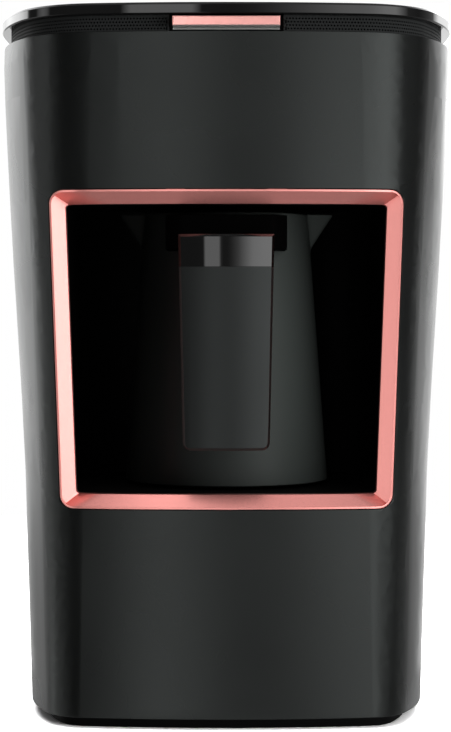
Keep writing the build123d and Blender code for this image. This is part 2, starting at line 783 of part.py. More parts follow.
with BuildPart() as hotplate:
    with BuildSketch(pot_plane):
        with BuildLine():
            Polyline(
                (0, plate_top), (plate_radius - plate_edge, plate_top),
                (plate_radius, plate_top - plate_edge),
                (plate_radius, floor_under - seal_thickness),
                (plate_radius + plate_flange, floor_under - seal_thickness),
                (plate_radius + plate_flange, floor_under - seal_thickness - plate_sheet),
                (plate_radius - plate_sheet, floor_under - seal_thickness - plate_sheet),
                (plate_radius - plate_sheet, spreader_top), (0, spreader_top), close=True)
        make_face()
    revolve(axis=pot_axis)
save(hotplate, "hotplate")

with BuildPart() as hotplate_seal:
    with BuildSketch(Plane.XY.offset(floor_under)):
        with Locations((0, pot_y)):
            Circle(plate_radius + plate_flange)
            Circle(plate_radius + plate_clearance, mode=Mode.SUBTRACT)
    extrude(amount=-seal_thickness)
save(hotplate_seal, "hotplate_seal")

element_level = spreader_bottom + element_radius / 2

with BuildPart() as heat_spreader:
    with Locations((0, pot_y, spreader_bottom)):
        Cylinder(spreader_radius, spreader_height, align=(Align.CENTER, Align.CENTER, Align.MIN))
    # open groove that the tube is pressed up into
    with BuildSketch(Plane.XY.offset(spreader_bottom)):
        with Locations((0, pot_y)):
            Circle(element_ring + element_radius + element_fit)
            Circle(element_ring - element_radius - element_fit, mode=Mode.SUBTRACT)
    extrude(amount=element_level - spreader_bottom + element_radius, mode=Mode.SUBTRACT)
save(heat_spreader, "heat_spreader")

element_start = 90 + (360 - element_arc) / 2  # the gap in the ring faces the back
element_turn = radians(element_start)
element_plane = Plane((0, pot_y, 0), x_dir=(cos(element_turn), sin(element_turn), 0),
                      z_dir=(sin(element_turn), -cos(element_turn), 0))

with BuildPart() as heating_element:
    with BuildSketch(element_plane):
        with Locations((element_ring, element_level)):
            RegularPolygon(element_radius, element_sides, major_radius=False,
                           rotation=180 / element_sides)
    revolve(axis=pot_axis, revolution_arc=element_arc)
    for angle in (element_start, element_start + element_arc):
        x = element_ring * cos(radians(angle))
        y = pot_y + element_ring * sin(radians(angle))
        with Locations((x, y, element_level)):
            Cylinder(terminal_radius, terminal_length, align=(Align.CENTER, Align.CENTER, Align.MAX))
save(heating_element, "heating_element")

with BuildPart() as plate_strap:
    with BuildSketch(Plane.XY.offset(strap_top)):
        with Locations((0, pot_y)):
            SlotOverall(strap_length, strap_width)
    extrude(amount=-strap_sheet)
    extrude(spots(Plane.XY.offset(strap_top), strap_ends, screw_radius + hole_clearance),
            amount=-strap_sheet, mode=Mode.SUBTRACT)
    # cups that press on the spreader each side of the thermostat
    with Locations((-cup_place, pot_y, strap_top), (cup_place, pot_y, strap_top)):
        Cylinder(cup_radius, spreader_bottom - strap_top, align=(Align.CENTER, Align.CENTER, Align.MIN))
save(plate_strap, "plate_strap")
screws(Plane.XY.offset(strap_top - strap_sheet), strap_ends, strap_sheet + screw_bite - thread_spare, -1,
       "strap_screws")

with BuildPart() as thermostat:
    with Locations((0, pot_y, strap_top)):
        Cylinder(thermostat_radius, spreader_bottom - strap_top,
                 align=(Align.CENTER, Align.CENTER, Align.MIN))
save(thermostat, "thermostat")

fuse_x = -(strap_length / 2 - 2 * board_edge - screw_head)

with BuildPart() as thermal_fuse:
    with BuildSketch(Plane.XZ.offset(-(pot_y - fuse_length / 2))):
        with Locations((fuse_x, strap_top + fuse_radius)):
            Circle(fuse_radius)
    extrude(amount=-fuse_length)
save(thermal_fuse, "thermal_fuse")

# ================= Pot =================


def pot_radius(height):
    """Outer radius of the pot's body at a height."""
    rise = (height - pot_bottom) / (pot_top - pot_bottom)
    return pot_radius_bottom + (pot_radius_top - pot_radius_bottom) * rise


def spouts(grow, mode):
    """The two pouring lips, left and right, which narrow to nothing down the pot's wall."""
    rim = pot_radius_top - pot_wall
    for s in (-1, 1):
        lips = []
        for level, root, tip_at in (
            (pot_top, spout_root, spout_reach - spout_tip),
            (pot_top - spout_drop, spout_root / 2, rim - spout_tip),
        ):
            with BuildSketch(Plane.XY.offset(level), mode=Mode.PRIVATE) as lip:
                with Locations((s * (rim - spout_root - spout_wall), pot_y)):
                    Circle(root + grow)
                with Locations((s * tip_at, pot_y)):
                    Circle(spout_tip + grow)
                make_hull()
            lips.append(lip.sketch)
        loft(lips, ruled=True, mode=mode)


base_top = pot_bottom + pot_base_thickness
ledge_bottom = base_top + seal_ring
ledge_top = ledge_bottom + ledge_thickness
skirt_bottom = pot_bottom + pot_foot
base_radius = pot_radius(base_top) - pot_wall - pot_fit

with BuildPart() as pot_vessel:
    with BuildSketch(pot_plane):
        with BuildLine():
            Polyline((0, skirt_bottom), (pot_radius(skirt_bottom), skirt_bottom),
                     (pot_radius(pot_top - rim_edge), pot_top - rim_edge),
                     (pot_radius(pot_top) - rim_edge, pot_top), (0, pot_top), close=True)
        make_face()
    revolve(axis=pot_axis)
    spouts(0, Mode.ADD)
    spouts(-spout_wall, Mode.SUBTRACT)
    # inside, narrowed at the bottom by the ledge over the steel base
    with BuildSketch(pot_plane):
        with BuildLine():
            Polyline((0, skirt_bottom), (base_radius + pot_fit, skirt_bottom),
                     (base_radius + pot_fit, ledge_bottom), (ledge_radius, ledge_bottom),
                     (ledge_radius, ledge_top), (pot_radius(ledge_top) - pot_wall, ledge_top),
                     (pot_radius(pot_top) - pot_wall, pot_top), (0, pot_top), close=True)
        make_face()
    revolve(axis=pot_axis, mode=Mode.SUBTRACT)
save(pot_vessel, "pot_vessel")

with BuildPart() as pot_base:
    with Locations((0, pot_y, pot_bottom)):
        Cylinder(base_radius, pot_base_thickness, align=(Align.CENTER, Align.CENTER, Align.MIN))
    chamfer(pot_base.edges().group_by(Axis.Z)[0], pot_foot)
save(pot_base, "pot_base")

with BuildPart() as base_seal:
    with BuildSketch(Plane.XY.offset(base_top)):
        with Locations((0, pot_y)):
            Circle(base_radius)
            Circle(ledge_radius, mode=Mode.SUBTRACT)
    extrude(amount=seal_ring)
save(base_seal, "base_seal")


def handle_half(height):
    rise = (height - handle_bottom) / (handle_top - handle_bottom)
    return handle_half_bottom + (handle_half_top - handle_half_bottom) * rise


def grip_face(low, high, shrink, radius):
    """Front outline of the grip between two levels, on the upright plane Y = 0."""
    with BuildSketch(Plane.XZ, mode=Mode.PRIVATE) as outline:
        with BuildLine():
            Polyline((-handle_half(low) + shrink, low), (handle_half(low) - shrink, low),
                     (handle_half(high) - shrink, high), (-handle_half(high) + shrink, high), close=True)
        make_face()
        if radius:
            fillet(outline.vertices().group_by(Axis.Y)[0], radius)
    return outline.sketch


def grip_plan(shrink):
    """Plan of the grip: a crowned front, a flat back and rounded front edges."""
    half = handle_half_top + handle_crown
    front = handle_front + shrink
    with BuildSketch(Plane.XY.offset(handle_bottom), mode=Mode.PRIVATE) as plan:
        with BuildLine():
            ThreePointArc((-half, front + handle_crown), (0, front), (half, front + handle_crown))
            Polyline((half, front + handle_crown), (half, handle_back), (-half, handle_back),
                     (-half, front + handle_crown))
        make_face()
    return plan.sketch


handle_screw_places = [(0, tongue_bottom + handle_screw_inset), (0, bracket_bottom - handle_screw_inset)]

# outline of the whole grip, before it is parted into body and cap
with BuildPart() as grip_form:
    extrude(grip_face(handle_bottom, handle_top, 0, handle_corner), amount=lid_depth)
    extrude(grip_plan(0), amount=handle_top - handle_bottom, mode=Mode.INTERSECT)
    chamfer(grip_form.faces().sort_by(Axis.Y)[0].edges(), handle_edge)

# thinner neck at the top of the grip, which the cap fits over
with BuildPart() as grip_neck:
    extrude(grip_face(band_bottom, handle_top - band_thickness, band_thickness, 0), amount=lid_depth)
    extrude(grip_plan(band_thickness), amount=handle_top - handle_bottom, mode=Mode.INTERSECT)

with BuildPart() as pot_handle:
    add(grip_form.part)
    split(bisect_by=Plane.XY.offset(band_bottom), keep=Keep.BOTTOM)
    add(grip_neck.part)
    extrude(spots(Plane.XZ.offset(-handle_back), handle_screw_places, screw_radius),
            amount=handle_thickness - handle_skin, mode=Mode.SUBTRACT)
save(pot_handle, "pot_handle")

with BuildPart() as handle_band:
    add(grip_form.part)
    split(bisect_by=Plane.XY.offset(band_bottom), keep=Keep.TOP)
    add(grip_neck.part, mode=Mode.SUBTRACT)
save(handle_band, "handle_band")

with BuildPart() as handle_bracket:
    # arm from the body to the grip, with a tongue down the grip's back
    with BuildSketch(Plane.XY.offset(bracket_bottom)):
        with BuildLine():
            Polyline((-bracket_half, pot_y), (-bracket_half, handle_back + bracket_flare),
                     (-handle_half_top, handle_back), (handle_half_top, handle_back),
                     (bracket_half, handle_back + bracket_flare), (bracket_half, pot_y), close=True)
        make_face()
    extrude(amount=bracket_top - bracket_bottom)
    chamfer(handle_bracket.edges().filter_by(Axis.Z).group_by(Axis.Y)[0], bracket_edge)
    with BuildSketch(Plane.XY.offset(tongue_bottom)):
        with Locations((0, handle_back + tongue_thickness / 2)):
            Rectangle(2 * tongue_half, tongue_thickness)
    extrude(amount=bracket_bottom - tongue_bottom)
    # hollowed to the body's cone
    with BuildSketch(pot_plane):
        with BuildLine():
            Polyline((0, tongue_bottom), (pot_radius(tongue_bottom) + bracket_fit, tongue_bottom),
                     (pot_radius(pot_top) + bracket_fit, pot_top), (0, pot_top), close=True)
        make_face()
    revolve(axis=pot_axis, mode=Mode.SUBTRACT)
    extrude(spots(Plane.XZ.offset(-handle_back), handle_screw_places, screw_radius + hole_clearance),
            amount=-tongue_thickness, mode=Mode.SUBTRACT)
save(handle_bracket, "handle_bracket")
screws(Plane.XZ.offset(-(handle_back + tongue_thickness)), handle_screw_places,
       tongue_thickness + handle_thickness - handle_skin - thread_spare, -1, "handle_screws")
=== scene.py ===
import json
import math

import bmesh
import bpy
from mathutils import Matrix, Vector


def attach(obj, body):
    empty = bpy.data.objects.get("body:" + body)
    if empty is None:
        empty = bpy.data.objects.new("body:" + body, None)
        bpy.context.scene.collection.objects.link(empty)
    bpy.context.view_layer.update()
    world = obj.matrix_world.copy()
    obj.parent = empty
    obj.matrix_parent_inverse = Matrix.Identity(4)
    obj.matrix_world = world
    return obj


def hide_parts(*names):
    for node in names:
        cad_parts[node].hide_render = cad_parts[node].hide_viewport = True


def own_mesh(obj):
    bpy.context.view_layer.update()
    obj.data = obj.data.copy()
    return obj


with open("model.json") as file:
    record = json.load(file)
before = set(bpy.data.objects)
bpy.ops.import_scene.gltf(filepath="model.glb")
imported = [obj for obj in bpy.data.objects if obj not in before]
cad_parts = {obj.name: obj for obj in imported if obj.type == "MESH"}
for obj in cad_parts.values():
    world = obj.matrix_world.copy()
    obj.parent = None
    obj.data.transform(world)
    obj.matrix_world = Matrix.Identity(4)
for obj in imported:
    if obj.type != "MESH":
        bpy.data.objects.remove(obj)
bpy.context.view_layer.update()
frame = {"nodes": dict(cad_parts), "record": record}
print("frame loaded:", len(frame["nodes"]), "nodes")

# Lengths in the dictionaries are in millimetres, apart from those of the camera, the lamps and the paper.
mm = 0.001


def linear(hexColour):
    # sRGB hex to the linear values that sockets take
    values = [int(hexColour[i:i + 2], 16) / 255 for i in (1, 3, 5)]
    return tuple(v / 12.92 if v <= 0.04045 else ((v + 0.055) / 1.055) ** 2.4 for v in values) + (1.0,)


def addNode(tree, kind, inputs=None, **settings):
    # one node with its settings; an input is a value, or the output socket to link to it
    node = tree.nodes.new(kind)
    for name, value in settings.items():
        setattr(node, name, value)
    for name, value in (inputs or {}).items():
        if isinstance(value, bpy.types.NodeSocket):
            tree.links.new(value, node.inputs[name])
        else:
            node.inputs[name].default_value = value
    return node


def mapped(tree, value, start, end, low=0.0, high=1.0):
    # low where the value is start, high where it is end
    return addNode(tree, "ShaderNodeMapRange", {
        "Value": value, "From Min": start, "From Max": end, "To Min": low, "To Max": high}).outputs["Result"]


def calculated(tree, operation, *values):
    return addNode(tree, "ShaderNodeMath", dict(enumerate(values)), operation=operation).outputs[0]


def mixedColour(tree, share, first, second):
    return addNode(tree, "ShaderNodeMix", {"Factor": share, 6: first, 7: second}, data_type="RGBA").outputs[2]


def mixedLevel(tree, share, first, second):
    return addNode(tree, "ShaderNodeMix", {"Factor": share, 2: first, 3: second}, data_type="FLOAT").outputs[0]


def newMaterial(name):
    material = bpy.data.materials.new(name)
    material.use_nodes = True
    material.node_tree.nodes.clear()
    return material, material.node_tree


# An underside begins and is one in full where the surface's normal has these heights.
underside = {"from": -0.45, "to": -0.8}


def downward(tree):
    # 1 where the surface looks at the floor
    facing = addNode(tree, "ShaderNodeSeparateXYZ", {0: addNode(tree, "ShaderNodeNewGeometry").outputs["Normal"]})
    return mapped(tree, facing.outputs["Z"], underside["from"], underside["to"])


plastic = {
    "patch": 35.0,  # size of the patches that handling leaves
    "patchFrom": 0.1, "patchTo": 0.9,  # part of the noise over which the roughness changes
    "undersideShade": 0.15,  # share of the gloss that faces looking down keep: painted shade
}


def mouldedPlastic(name, colour, roughness, grain, depth, ior=1.46, blotch=0.04, specular=0.5, tint="#FFFFFF",
                   shadedUnderside=False):
    # a moulded or painted plastic: fine grain in the surface, and roughness that wanders a little with handling
    material, tree = newMaterial(name)
    place = addNode(tree, "ShaderNodeTexCoord").outputs["Object"]
    wander = addNode(tree, "ShaderNodeTexNoise", {
        "Vector": place, "Scale": 1 / (plastic["patch"] * mm), "Detail": 2.0})
    rough = mapped(tree, wander.outputs["Fac"], plastic["patchFrom"], plastic["patchTo"],
                   roughness - blotch, roughness + blotch)
    pores = addNode(tree, "ShaderNodeTexNoise", {"Vector": place, "Scale": 1 / (grain * mm), "Detail": 1.0})
    bump = addNode(tree, "ShaderNodeBump", {
        "Height": pores.outputs["Fac"], "Strength": 1.0, "Distance": depth * mm})
    shader = addNode(tree, "ShaderNodeBsdfPrincipled", {
        "Base Color": linear(colour), "Roughness": rough, "IOR": ior,
        "Specular IOR Level": specular, "Specular Tint": linear(tint), "Normal": bump.outputs["Normal"]})
    # painted shade: faces that look down keep only a share of their gloss, so they show dark
    if shadedUnderside:
        gloss = mapped(tree, downward(tree), 0.0, 1.0, specular, plastic["undersideShade"] * specular)
        tree.links.new(gloss, shader.inputs["Specular IOR Level"])
    addNode(tree, "ShaderNodeOutputMaterial", {"Surface": shader.outputs["BSDF"]})
    return material


bareMetal = {
    "grainFrom": 0.25, "grainTo": 0.75,  # part of the noise over which the roughness changes
    "spread": 0.05,  # how far the roughness goes to either side
}


def metal(name, colour, roughness, grain, depth, stretch=(1, 1, 1), bare=1.0, paintedUndersideColour=None, mask=None):
    # a bare or anodised metal: grain of the blasting or brushing in the surface. Below 1, bare is the share
    # that still mirrors, the rest being the haze of the coat. The underside colour is a painted reflection: faces
    # that look down take it in place of the metal's own, and mirror in full.
    material, tree = newMaterial(name)
    place = addNode(tree, "ShaderNodeTexCoord").outputs["Object"]
    turned = addNode(tree, "ShaderNodeMapping", {"Vector": place, "Scale": stretch})
    pores = addNode(tree, "ShaderNodeTexNoise", {
        "Vector": turned.outputs["Vector"], "Scale": 1 / (grain * mm), "Detail": 2.0})
    rough = mapped(tree, pores.outputs["Fac"], bareMetal["grainFrom"], bareMetal["grainTo"],
                   roughness - bareMetal["spread"], roughness + bareMetal["spread"])
    bump = addNode(tree, "ShaderNodeBump", {
        "Height": pores.outputs["Fac"], "Strength": 1.0, "Distance": depth * mm})
    shader = addNode(tree, "ShaderNodeBsdfPrincipled", {
        "Base Color": linear(colour), "Metallic": bare, "Roughness": rough, "Normal": bump.outputs["Normal"]})
    if paintedUndersideColour:
        down = downward(tree)
        tree.links.new(mixedColour(tree, down, linear(colour), linear(paintedUndersideColour)),
                       shader.inputs["Base Color"])
        tree.links.new(mapped(tree, down, 0.0, 1.0, bare, 1.0), shader.inputs["Metallic"])
    surface = shader.outputs["BSDF"]
    if mask:
        surface = masked(tree, place, surface, mask)
    addNode(tree, "ShaderNodeOutputMaterial", {"Surface": surface})
    return material


def masked(tree, place, surface, mask):
    # behind its face the metal is painted near black as painted shade, and the strip of it under the face is
    # painted grey, a painted reflection like the underside's
    axes = addNode(tree, "ShaderNodeSeparateXYZ", {0: place})
    behind = mapped(tree, axes.outputs["Y"], mask["behind"] * mm, (mask["behind"] + mask["edge"]) * mm)
    low = mapped(tree, axes.outputs["Z"], mask["under"] * mm, (mask["under"] - mask["edge"]) * mm)
    near = mapped(tree, calculated(tree, "ABSOLUTE", axes.outputs["X"]),
                  mask["within"] * mm, (mask["within"] - mask["edge"]) * mm)
    paintedGrey = calculated(tree, "MULTIPLY", low, near)
    backShade = addNode(tree, "ShaderNodeBsdfPrincipled", {
        "Base Color": mixedColour(tree, paintedGrey, linear(mask["backShade"]), linear(mask["paintedGrey"])),
        "Metallic": 1.0, "Roughness": mask["roughness"]})
    return addNode(tree, "ShaderNodeMixShader", {
        0: behind, 1: surface, 2: backShade.outputs["BSDF"]}).outputs["Shader"]


finishes = {
    # ABS sprayed with a satin black coat: broad soft reflections, faint orange peel
    "housing_black": mouldedPlastic("satinSprayedAbs", "#010101", 0.28, 0.9, 0.0003, tint="#F7FFFC"),
    # ABS moulded in a polished tool: sharp reflections
    "gloss_black": mouldedPlastic("polishedBlackAbs", "#020202", 0.03, 2.5, 0.00005, 1.5, 0.01),
    # aluminium, bead blasted and anodised rose gold: bright with a fine even sparkle
    "rose_metal": metal("blastedRoseAluminium", "#F7A29B", 0.30, 0.12, 0.0012, bare=0.85),
    # ABS with a fine spark-eroded grain: takes the light out of the chamber
    "chamber_black": mouldedPlastic("erodedBlackAbs", "#020202", 0.7, 0.35, 0.006, 1.4, 0.04, 0.15),
    # ABS with a coarser matt grain
    "vent_black": mouldedPlastic("mattBlackAbs", "#1F2020", 0.6, 0.4, 0.001, specular=0.06),
    # polypropylene, dense and slightly waxy
    "pot_black": mouldedPlastic("satinPolypropylene", "#161817", 0.5, 0.5, 0.0015, specular=0.15),
    # phenolic with a soft matt skin
    "handle_black": mouldedPlastic("mattPhenolic", "#020202", 0.36, 0.45, 0.0012, 1.45, tint="#F7FFFD"),
    # rubber as it comes from the mould
    "rubber_black": mouldedPlastic("mouldedRubber", "#0B0B0B", 0.75, 0.6, 0.004, 1.45),
    # soft silicone
    "silicone_grey": mouldedPlastic("siliconeGasket", "#9A9A9A", 0.55, 0.8, 0.001, 1.41),
    # glass-filled nylon with its gloss all but taken away: painted shade, so that the handle's bracket shows
    # black
    "component_black": mouldedPlastic("filledNylon", "#010101", 0.7, 0.3, 0.003, specular=0.02),
    # natural nylon
    "terminal_white": mouldedPlastic("whiteNylon", "#E6E4DC", 0.45, 0.3, 0.002),
    # PBT of a relay's case
    "relay_blue": mouldedPlastic("bluePbt", "#2A5FB8", 0.35, 0.3, 0.001),
    # solder mask over the laminate of a circuit board
    "board_green": mouldedPlastic("solderMask", "#14572E", 0.3, 1.5, 0.001),
    # dyed polycarbonate, polished
    "lens_dark": mouldedPlastic("darkRedPolycarbonate", "#2A0508", 0.08, 3.0, 0.0002, 1.58, 0.01),
    # stacked steel sheets under varnish
    "core_steel": metal("varnishedLaminations", "#6B5A3C", 0.4, 0.35, 0.004, (1, 1, 12)),
    # pressed stainless steel with a turned finish
    "stainless": metal("turnedStainless", "#CFCFCC", 0.28, 0.25, 0.001, (1, 1, 8)),
    # bright zinc plate
    "zinc_steel": metal("zincPlatedSteel", "#B9BDC0", 0.35, 0.4, 0.001),
    # aluminium as it comes from the casting die
    "cast_aluminium": metal("castAluminium", "#B4B4B6", 0.5, 0.5, 0.006),
}

# painted shade behind the button's face, and a painted grey reflection on the strip under it
buttonPaintedBack = {
    "behind": -77.5,  # depth of the back of the button's face
    "under": 220.0,  # height of the face's lower edge
    "within": 16.7,  # half the width of the strip painted grey
    "edge": 0.1,  # width over which one finish gives way to the next
    "backShade": "#060606", "paintedGrey": "#8A8A88", "roughness": 0.35,
}

# pieces whose finish differs a little from their slot's
finishOfNode = {
    # the lid's underside mirrors less than the rest of it: painted shade on the faces that look down
    "top_cover": mouldedPlastic("polishedLidAbs", "#020202", 0.016, 2.5, 0.00005, 1.5, 0.004, shadedUnderside=True),
    # harder and glossier ABS on the handle's cap
    "handle_band": mouldedPlastic("platedAbsCap", "#020202", 0.03, 2.5, 0.00005, 1.58, 0.01),
    # pressed steel, coloured darker than the other stainless
    "hotplate": metal("darkStainless", "#3A3836", 0.42, 0.25, 0.001, (1, 1, 8)),
    # the button's face is anodised like the frame; its underside is a painted reflection, and behind the face it
    # is painted dark as painted shade
    "start_button": metal("blastedRoseButton", "#F5AFA8", 0.22, 0.12, 0.001, bare=0.77,
                          paintedUndersideColour="#EFEFEC", mask=buttonPaintedBack),
}

slotOfNode = {part["node"]: part["material_slot"] for part in frame["record"]["subparts"]}
bodyOfNode = {node: body for body, nodes in frame["record"]["behaviour"]["bodies"].items() for node in nodes}


def finishFor(name):
    return finishOfNode.get(name) or finishes[slotOfNode[name]]


for name, node in frame["nodes"].items():
    node.data.materials.clear()
    node.data.materials.append(finishFor(name))
print("materials made:", len(finishes) + len(finishOfNode))


def dress(name, piece):
    # the piece stands for the node, on its body and in its finish
    piece.data.materials.clear()
    piece.data.materials.append(finishFor(name))
    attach(piece, bodyOfNode[name])
    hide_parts(name)


def pieceFrom(bm, name):
    mesh = bpy.data.meshes.new(name)
    bm.to_mesh(mesh)
    bm.free()
    piece = bpy.data.objects.new(name, mesh)
    bpy.context.scene.collection.objects.link(piece)
    return piece


meshing = {
    "merge": 0.002,  # corners of a solid that lie closer than this are one
    "flat": 0.4,  # degrees below which two faces of a solid are one
    "sharp": 30.0,  # degrees above which an edge is sharp
    "segments": 3,  # steps of a rounded edge
}


def sharpEdges(bm, angle):
    return [edge for edge in bm.edges
            if len(edge.link_faces) == 2 and edge.calc_face_angle() > math.radians(angle)]


def smoothed(bm, sharpAngle=meshing["sharp"]):
    for face in bm.faces:
        face.smooth = True
    for edge in sharpEdges(bm, sharpAngle):
        edge.smooth = False


def meshOf(node):
    # a copy of the node's mesh with its faces joined at their corners
    bm = bmesh.new()
    bm.from_mesh(frame["nodes"][node].data)
    bmesh.ops.remove_doubles(bm, verts=bm.verts, dist=meshing["merge"] * mm)
    return bm


def softened(node, edgeRound):
    # the node's own shape with its sharp edges rounded and its curves shaded smooth
    bm = meshOf(node)
    bmesh.ops.dissolve_limit(bm, angle_limit=math.radians(meshing["flat"]), verts=bm.verts, edges=bm.edges)
    bmesh.ops.bevel(bm, geom=sharpEdges(bm, meshing["sharp"]), offset=edgeRound * mm, offset_type="OFFSET",
                    segments=meshing["segments"], profile=0.5, affect="EDGES", material=-1, clamp_overlap=True)
    bmesh.ops.triangulate(bm, faces=[face for face in bm.faces if len(face.verts) > 4])
    smoothed(bm)
    piece = pieceFrom(bm, node + "_finished")
    # keeps the walls' shading flat up to the rounded edges
    piece.modifiers.new("evenNormals", "WEIGHTED_NORMAL").keep_sharp = True
    dress(node, piece)
    return piece


def closedWalls(bm, rings):
    # walls from each ring to the next, and from the last to the first
    for low, high in zip(rings, rings[1:] + rings[:1]):
        for i in range(len(low)):
            j = (i + 1) % len(low)
            bm.faces.new((low[i], low[j], high[j], high[i]))
    bmesh.ops.recalc_face_normals(bm, faces=bm.faces)


# radius of the rounding on the sharp edges of each visible solid
edgeRounds = {
    "body_shell": 0.18,
    "window_frame": 0.08,
    "top_cover": 0.1,
    "chamber_liner": 0.15,
    "base_cover": 0.15,
    "rubber_feet": 0.15,
    "cord_gland": 0.15,
    "start_button": 0.06,
    "pot_handle": 0.1,
    "handle_band": 0.07,
    "handle_bracket": 0.4,
    "hotplate": 0.2,
    "sensor_lens": 0.15,
}
pieces = {node: softened(node, edgeRound) for node, edgeRound in edgeRounds.items()}

flanks = {
    "from": 58.0, "to": 69.0,  # distance from the middle at which the swell begins and is full
    # swell by height
    "swell": {0: -0.3, 50: -0.25, 80: 0.0, 101: 0.2, 134: 0.75, 151: 1.1, 167: 1.5, 184: 1.85, 200: 2.05,
              212: 2.05, 219: 1.6},
    "merge": 0.01,
}


def swellFlanks(piece):
    # the housing's flanks draw in a little at the foot and swell towards the lid
    bm = bmesh.new()
    bm.from_mesh(piece.data)
    levels = sorted(flanks["swell"])
    for level in levels[1:-1]:
        bmesh.ops.bisect_plane(bm, geom=bm.verts[:] + bm.edges[:] + bm.faces[:], dist=flanks["merge"] * mm,
                               plane_co=(0, 0, level * mm), plane_no=(0, 0, 1))
    for vert in bm.verts:
        side = min(max((abs(vert.co.x) / mm - flanks["from"]) / (flanks["to"] - flanks["from"]), 0.0), 1.0)
        above = max(level for level in levels if level <= max(vert.co.z / mm, 0.0))
        below = min([level for level in levels if level > above], default=above + 1)
        share = (vert.co.z / mm - above) / (below - above)
        swell = flanks["swell"][above] * (1 - share) + flanks["swell"].get(below, 0.0) * share
        vert.co.x += math.copysign(side * swell * mm, vert.co.x)
    bm.to_mesh(piece.data)
    bm.free()


swellFlanks(pieces["body_shell"])

grip = {
    "crown": 0.38,  # how much further the front is crowned than the solid's, at its sides
    "half": 17.2,
    "back": -72.5,  # only what lies before this depth is crowned
}


def crownGrip(piece):
    # the rounding of its edges hides part of the solid's crown
    for vertex in piece.data.vertices:
        if vertex.co.y < grip["back"] * mm:
            vertex.co.y += grip["crown"] * mm * (vertex.co.x / (grip["half"] * mm)) ** 2


for node in ("pot_handle", "handle_band"):
    crownGrip(pieces[node])
print("visible castings dressed:", len(pieces))


def arc(centre, radius, start, end, steps):
    # points round a centre, from the direction of the front (0 degrees) towards the right (90)
    return [(centre[0] + radius * math.sin(math.radians(start + (end - start) * i / steps)),
             centre[1] - radius * math.cos(math.radians(start + (end - start) * i / steps)))
            for i in range(steps + 1)]


lidPlan = {
    "half": 75.5, "front": -82.5, "back": 82.5,
    "bow": 320.0, "corner": 30.6, "flank": 108.0, "rear": 14.0,  # radii, from the front round to the back
    "turn": 66.0,  # direction in degrees at which the corner passes into the flank
    "bowSteps": 60, "cornerSteps": 60, "flankSteps": 40, "rearSteps": 24,
}


def planLine(plan, inset):
    # right half of the plan's outline, from the middle of the front to the middle of the back
    turn = math.radians(plan["turn"])
    slack = plan["half"] - plan["flank"] * (1 - math.sin(turn)) - plan["corner"] * math.sin(turn)
    bow = math.degrees(math.asin(slack / (plan["bow"] - plan["corner"])))
    bowCentre = (0, plan["front"] + plan["bow"])
    reach = plan["bow"] - plan["corner"]
    cornerCentre = (reach * math.sin(math.radians(bow)), bowCentre[1] - reach * math.cos(math.radians(bow)))
    flankCentre = (cornerCentre[0] + (plan["corner"] - plan["flank"]) * math.sin(turn),
                   cornerCentre[1] - (plan["corner"] - plan["flank"]) * math.cos(turn))
    rearCentre = (plan["half"] - plan["rear"], plan["back"] - plan["rear"])
    line = arc(bowCentre, plan["bow"] - inset, 0, bow, plan["bowSteps"])
    line += arc(cornerCentre, plan["corner"] - inset, bow, plan["turn"], plan["cornerSteps"])[1:]
    line += arc(flankCentre, plan["flank"] - inset, plan["turn"], 90, plan["flankSteps"])[1:]
    line += arc(rearCentre, plan["rear"] - inset, 90, 180, plan["rearSteps"])
    line.append((0, plan["back"] - inset))
    return line


def evenly(line, first, step):
    # points along a line at even steps, with the direction that is outward there
    lengths = [0.0]
    for a, b in zip(line, line[1:]):
        lengths.append(lengths[-1] + math.dist(a, b))
    count = int((lengths[-1] - first) / step)
    places, index = [], 0
    for i in range(count + 1):
        along = first + i * step
        while index < len(lengths) - 2 and lengths[index + 1] < along:
            index += 1
        a, b = line[index], line[index + 1]
        part = (along - lengths[index]) / (lengths[index + 1] - lengths[index])
        places.append((a[0] + (b[0] - a[0]) * part, a[1] + (b[1] - a[1]) * part))
    outward = []
    for i in range(len(places)):
        a, b = places[max(i - 1, 0)], places[min(i + 1, len(places) - 1)]
        length = math.dist(a, b)
        outward.append(((b[1] - a[1]) / length, -(b[0] - a[0]) / length))
    return places, outward


ventBand = {
    "bottom": 218.3, "top": 223.3, "inset": 3.0, "wall": 1.6,
    "gap": 17.8,  # half the gap for the button
    "pitch": 1.0, "rowStep": 1.05, "rows": 4, "firstRow": 0.3,
    "hole": 0.31,  # radius
    "reach": 112.0,  # how far round from the middle of the front the holes go
    "merge": 0.01,
}


